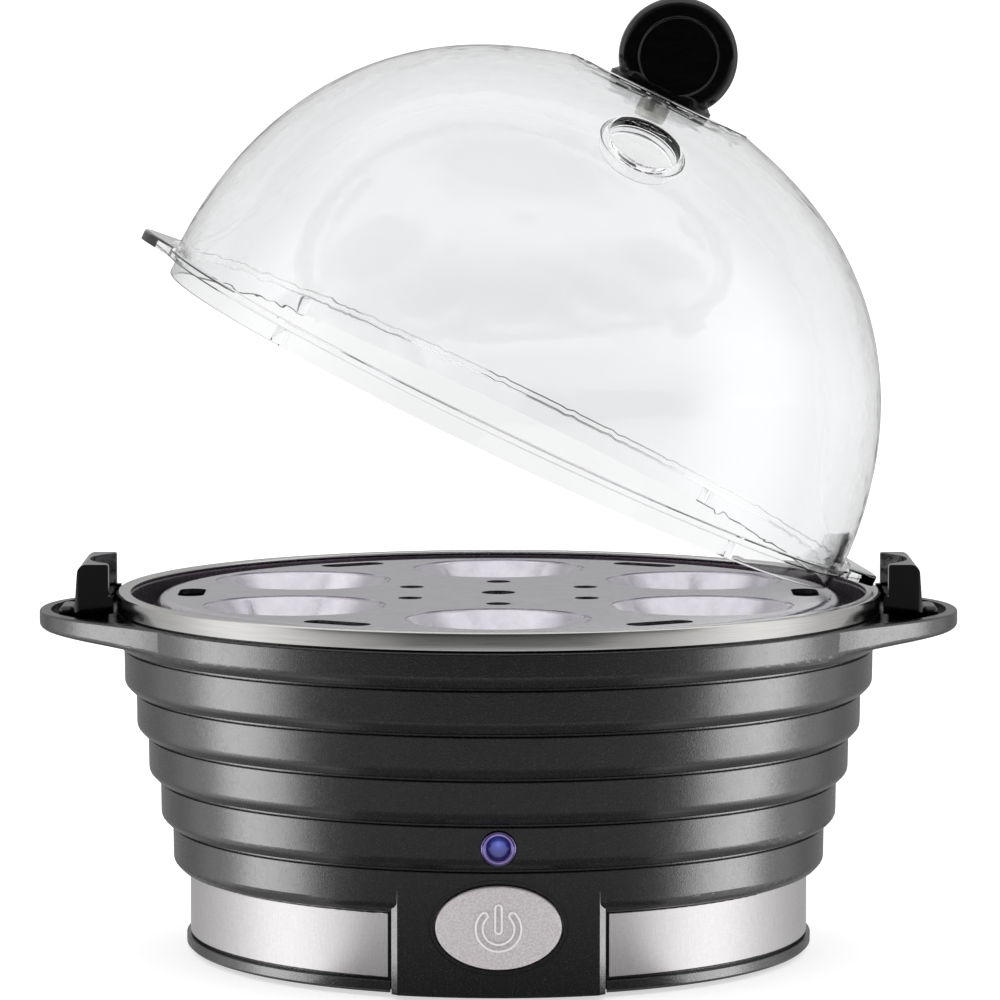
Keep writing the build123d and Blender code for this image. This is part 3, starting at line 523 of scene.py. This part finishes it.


# ------------------------------------------------------------------ return spring, which on the real button shortens as it goes in; here a fixed coil with a mesh of its own
def coil(name, r, wire, y0, y1, pitch, mat, body, sides=10, steps=28):
    """Round wire wound along Y from y0 to y1, about the button's axis."""
    turns = abs(y1 - y0) / pitch
    n = int(turns * steps) + 1
    pts = [Vector((r * math.cos(2 * math.pi * turns * i / (n - 1)), y0 + (y1 - y0) * i / (n - 1), BTN_Z + r * math.sin(2 * math.pi * turns * i / (n - 1)))) for i in range(n)]
    verts, faces = [], []
    for i, p in enumerate(pts):
        t = (pts[min(i + 1, n - 1)] - pts[max(i - 1, 0)]).normalized()
        u = Vector((p.x, 0, p.z - BTN_Z)).normalized()
        w = t.cross(u).normalized()
        for k in range(sides):
            a = 2 * math.pi * k / sides
            verts.append(tuple(p + wire * (math.cos(a) * u + math.sin(a) * w)))
    for i in range(n - 1):
        for k in range(sides):
            q = (k + 1) % sides
            faces.append((i * sides + k, (i + 1) * sides + k, (i + 1) * sides + q, i * sides + q))
    faces += [tuple(range(sides))[::-1], tuple((n - 1) * sides + k for k in range(sides))]
    me = bpy.data.meshes.new(name)
    me.from_pydata(verts, [], faces)
    me.validate()
    bm = bmesh.new()
    bm.from_mesh(me)
    bmesh.ops.recalc_face_normals(bm, faces=bm.faces)
    for f in bm.faces:
        f.smooth = len(f.verts) == 4
    bm.to_mesh(me)
    bm.free()
    o = bpy.data.objects.new(name, me)
    scene.collection.objects.link(o)
    me.materials.append(mat)
    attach(o, body)
    return o


spring = coil("spring_coil", 0.0037, 0.00032, -0.0574, -0.0627, 0.0015, M["spring_steel"], "base")
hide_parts("button_spring")
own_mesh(spring)


# ------------------------------------------------------------------ camera: the photograph's viewing angle
cam = bpy.data.objects.new("camera", bpy.data.cameras.new("camera"))
scene.collection.objects.link(cam)
cam.data.sensor_width = 36.0
cam.data.lens = 191.0
cam.data.shift_x = 0.0015
cam.data.clip_start, cam.data.clip_end = 0.05, 60.0
cam.location = (0.0, -1.1219, 0.19926)
cam.rotation_euler = (math.radians(90.0 - 5.293), 0.0, 0.0)
scene.camera = cam


# ------------------------------------------------------------------ floor and backdrop in one sweep
SWEEP_LESS = 0.43    # the backdrop is this much less overexposed where the clear lid lets it through


def make_sweep():
    prof = [(-6.0, 0.0), (2.2, 0.0)]
    for k in range(1, 17):
        a = math.radians(90.0 * k / 16)
        prof.append((2.2 + 1.2 * math.sin(a), 1.2 - 1.2 * math.cos(a)))
    prof.append((3.4, 5.0))
    verts, faces = [], []
    for x in (-7.0, 7.0):
        verts += [(x, y, z) for y, z in prof]
    n = len(prof)
    for i in range(n - 1):
        faces.append((i, i + 1, n + i + 1, n + i))
    me = bpy.data.meshes.new("floor")
    me.from_pydata(verts, [], faces)
    me.validate()
    for p in me.polygons:
        p.use_smooth = True
    o = bpy.data.objects.new("floor", me)
    scene.collection.objects.link(o)
    m = Mat("floor_white", (0.86, 0.86, 0.86), 0.9, **{"Specular IOR Level": 0.1, "Emission Color": (1, 1, 1, 1), "Emission Strength": 0.62})
    m.base(m.ramp(m.noise(8, 2.0), (0.3, (0.695, 0.695, 0.697)), (0.7, (0.705, 0.705, 0.703))))
    lp = m.n.new("ShaderNodeLightPath")
    m.link(m.math("MULTIPLY_ADD", lp.outputs["Is Transmission Ray"], -SWEEP_LESS, 0.62), m.b.inputs["Emission Strength"])
    me.materials.append(m.m)
    o.visible_glossy = False
    o.visible_shadow = False
    return o


floor = make_sweep()


# ------------------------------------------------------------------ soft studio light, all in the world
def make_world():
    w = bpy.data.worlds.new("studio")
    scene.world = w
    w.use_nodes = True
    t = w.node_tree
    t.nodes.clear()
    out = t.nodes.new("ShaderNodeOutputWorld")
    tc = t.nodes.new("ShaderNodeTexCoord")
    s = t.nodes.new("ShaderNodeSeparateXYZ")
    t.links.new(tc.outputs["Generated"], s.inputs[0])

    def math_(op, a, b=None):
        x = t.nodes.new("ShaderNodeMath")
        x.operation = op
        for i, v in enumerate((a, b)):
            if v is None:
                continue
            if isinstance(v, (int, float)):
                x.inputs[i].default_value = v
            else:
                t.links.new(v, x.inputs[i])
        return x.outputs[0]

    neg_y = math_("MULTIPLY", s.outputs[1], -1.0)
    az = math_("DIVIDE", math_("ABSOLUTE", math_("ARCTAN2", s.outputs[0], neg_y)), math.pi)   # 0 at the camera's side, 1 behind
    ramp = t.nodes.new("ShaderNodeValToRGB")
    ramp.color_ramp.interpolation = "LINEAR"
    stops = [(0, 0.14), (20, 0.15), (29, 0.22), (38, 0.38), (50, 0.53), (62, 0.72), (73, 0.90), (82, 1.0), (94, 0.95), (103, 0.72), (112, 0.55), (130, 0.38), (150, 0.28), (180, 0.30)]
    e = ramp.color_ramp.elements
    e[0].position, e[0].color = 0.0, (stops[0][1],) * 3 + (1,)
    e[1].position, e[1].color = 1.0, (stops[-1][1],) * 3 + (1,)
    for d, v in stops[1:-1]:
        k = e.new(d / 180.0)
        k.color = (v, v, v, 1)
    t.links.new(az, ramp.inputs[0])
    side = math_("MULTIPLY", ramp.outputs[0], 1.75)

    def mapr(v, lo, hi, a, b):
        x = t.nodes.new("ShaderNodeMapRange")
        x.interpolation_type = "SMOOTHSTEP"
        t.links.new(v, x.inputs[0])
        for i, k in zip((1, 2, 3, 4), (lo, hi, a, b)):
            x.inputs[i].default_value = k
        return x.outputs[0]

    # in front the room is dark in a band round the horizon
    front = mapr(az, 0.28, 0.40, 1.0, 0.0)
    band = math_("MULTIPLY", mapr(s.outputs[2], -0.065, -0.015, 0.0, 0.90), mapr(s.outputs[2], 0.12, 0.30, 1.0, 0.35))
    side = math_("MULTIPLY", side, math_("SUBTRACT", 1.0, math_("MULTIPLY", front, band)))
    # a paler wall behind, above the table's height
    behind = math_("MULTIPLY", mapr(az, 0.60, 0.80, 0.0, 1.0), mapr(s.outputs[2], 0.06, 0.30, 0.0, 1.0))
    side = math_("ADD", side, math_("MULTIPLY", behind, 0.25))
    up = mapr(s.outputs[2], 0.60, 0.88, 0.0, 1.0)
    mix = t.nodes.new("ShaderNodeMix")
    mix.data_type = "FLOAT"
    t.links.new(up, mix.inputs[0])
    t.links.new(side, mix.inputs[2])
    mix.inputs[3].default_value = 1.7
    bg = t.nodes.new("ShaderNodeBackground")
    t.links.new(mix.outputs[0], bg.inputs[1])
    white = t.nodes.new("ShaderNodeBackground")
    white.inputs[0].default_value = (1, 1, 1, 1)
    white.inputs[1].default_value = 1.0
    lp = t.nodes.new("ShaderNodeLightPath")
    seen = lp.outputs["Is Camera Ray"]
    sh = t.nodes.new("ShaderNodeMixShader")
    t.links.new(seen, sh.inputs[0])
    t.links.new(bg.outputs[0], sh.inputs[1])
    t.links.new(white.outputs[0], sh.inputs[2])
    t.links.new(sh.outputs[0], out.inputs[0])


make_world()


def strip(name, azimuth, elevation, dist, w, h, radiance, target=(0, 0, 0.05)):
    """Tall soft box; azimuth is 0 in front of the object, + towards its right."""
    lamp = bpy.data.lights.new(name, "AREA")
    lamp.shape = "RECTANGLE"
    lamp.size, lamp.size_y = w, h
    lamp.energy = radiance * math.pi * w * h
    o = bpy.data.objects.new(name, lamp)
    scene.collection.objects.link(o)
    a, e = math.radians(azimuth), math.radians(elevation)
    o.location = Vector(target) + dist * Vector((math.sin(a) * math.cos(e), -math.cos(a) * math.cos(e), math.sin(e)))
    o.rotation_euler = (Vector(target) - o.location).to_track_quat("-Z", "Y").to_euler()
    o.visible_camera = False
    o.visible_transmission = False
    return o


# the moulded body has strip lights of its own, as a product photographer flags them
body_only = bpy.data.collections.new("body_only")
for node in ("housing", "bottom_cover"):
    body_only.objects.link(N[node])
for side_ in (-1, 1):
    for k, (az_, el_, w_, h_, rad_) in enumerate(((83.5, -7.5, 0.62, 0.54, 8.8 + 0.4 * side_), (106, -4, 0.8, 1.7, 0.8))):
        lamp_ = strip("strip_%d_%s" % (k, "l" if side_ < 0 else "r"), side_ * az_, el_, 1.2, w_, h_, rad_)
        lamp_.light_linking.receiver_collection = body_only


def lit_table():
    """Patch of lit table in front, which the lower tiers mirror; only reflections see it."""
    me = bpy.data.meshes.new("lit_table")
    rim = [math.radians(a) for a in range(-38, 39, 2)]
    n = len(rim)
    ring = [(r * math.sin(a), -r * math.cos(a), 0.0002) for r in (0.068, 0.50) for a in rim]
    faces = [(i, i + 1, n + i + 1, n + i) for i in range(n - 1)]
    far = [i for i in range(n) if abs(rim[i]) < math.radians(27)]
    ring += [(0.64 * math.sin(rim[i]), -0.64 * math.cos(rim[i]), 0.0002) for i in far]
    faces += [(n + i, n + i + 1, 2 * n + k + 1, 2 * n + k) for k, i in enumerate(far[:-1])]
    me.from_pydata(ring, [], faces)
    o = bpy.data.objects.new("lit_table", me)
    scene.collection.objects.link(o)
    m = Mat("lit_table", (0, 0, 0), 1.0, **{"Emission Strength": 1.0})
    d = m.n.new("ShaderNodeVectorMath")
    d.operation = "LENGTH"
    m.link(m.co, d.inputs[0])
    v = m.remap(d.outputs["Value"], 0.07, 0.64, 0.0, 1.0)
    m.link(m.ramp(v, (0.000, (0.22,) * 3), (0.106, (0.33,) * 3), (0.226, (0.62,) * 3), (0.351, (1.12,) * 3), (0.465, (1.06,) * 3), (0.614, (0.62,) * 3), (0.754, (0.22,) * 3), (0.860, (0.07,) * 3), (1.0, (0.05,) * 3)), m.b.inputs["Emission Color"])
    me.materials.append(m.m)
    o.visible_camera = o.visible_diffuse = o.visible_transmission = o.visible_shadow = False
    return o


lit_table()

scene.view_settings.view_transform = "Standard"
scene.view_settings.look = "None"
scene.cycles.use_denoising = True
scene.cycles.denoiser = "OPENIMAGEDENOISE"
scene.cycles.max_bounces = 16
scene.cycles.transmission_bounces = 14
scene.cycles.glossy_bounces = 6
scene.cycles.diffuse_bounces = 4
scene.cycles.transparent_max_bounces = 16
scene.cycles.caustics_reflective = False
scene.cycles.caustics_refractive = False
scene.cycles.sample_clamp_indirect = 6.0
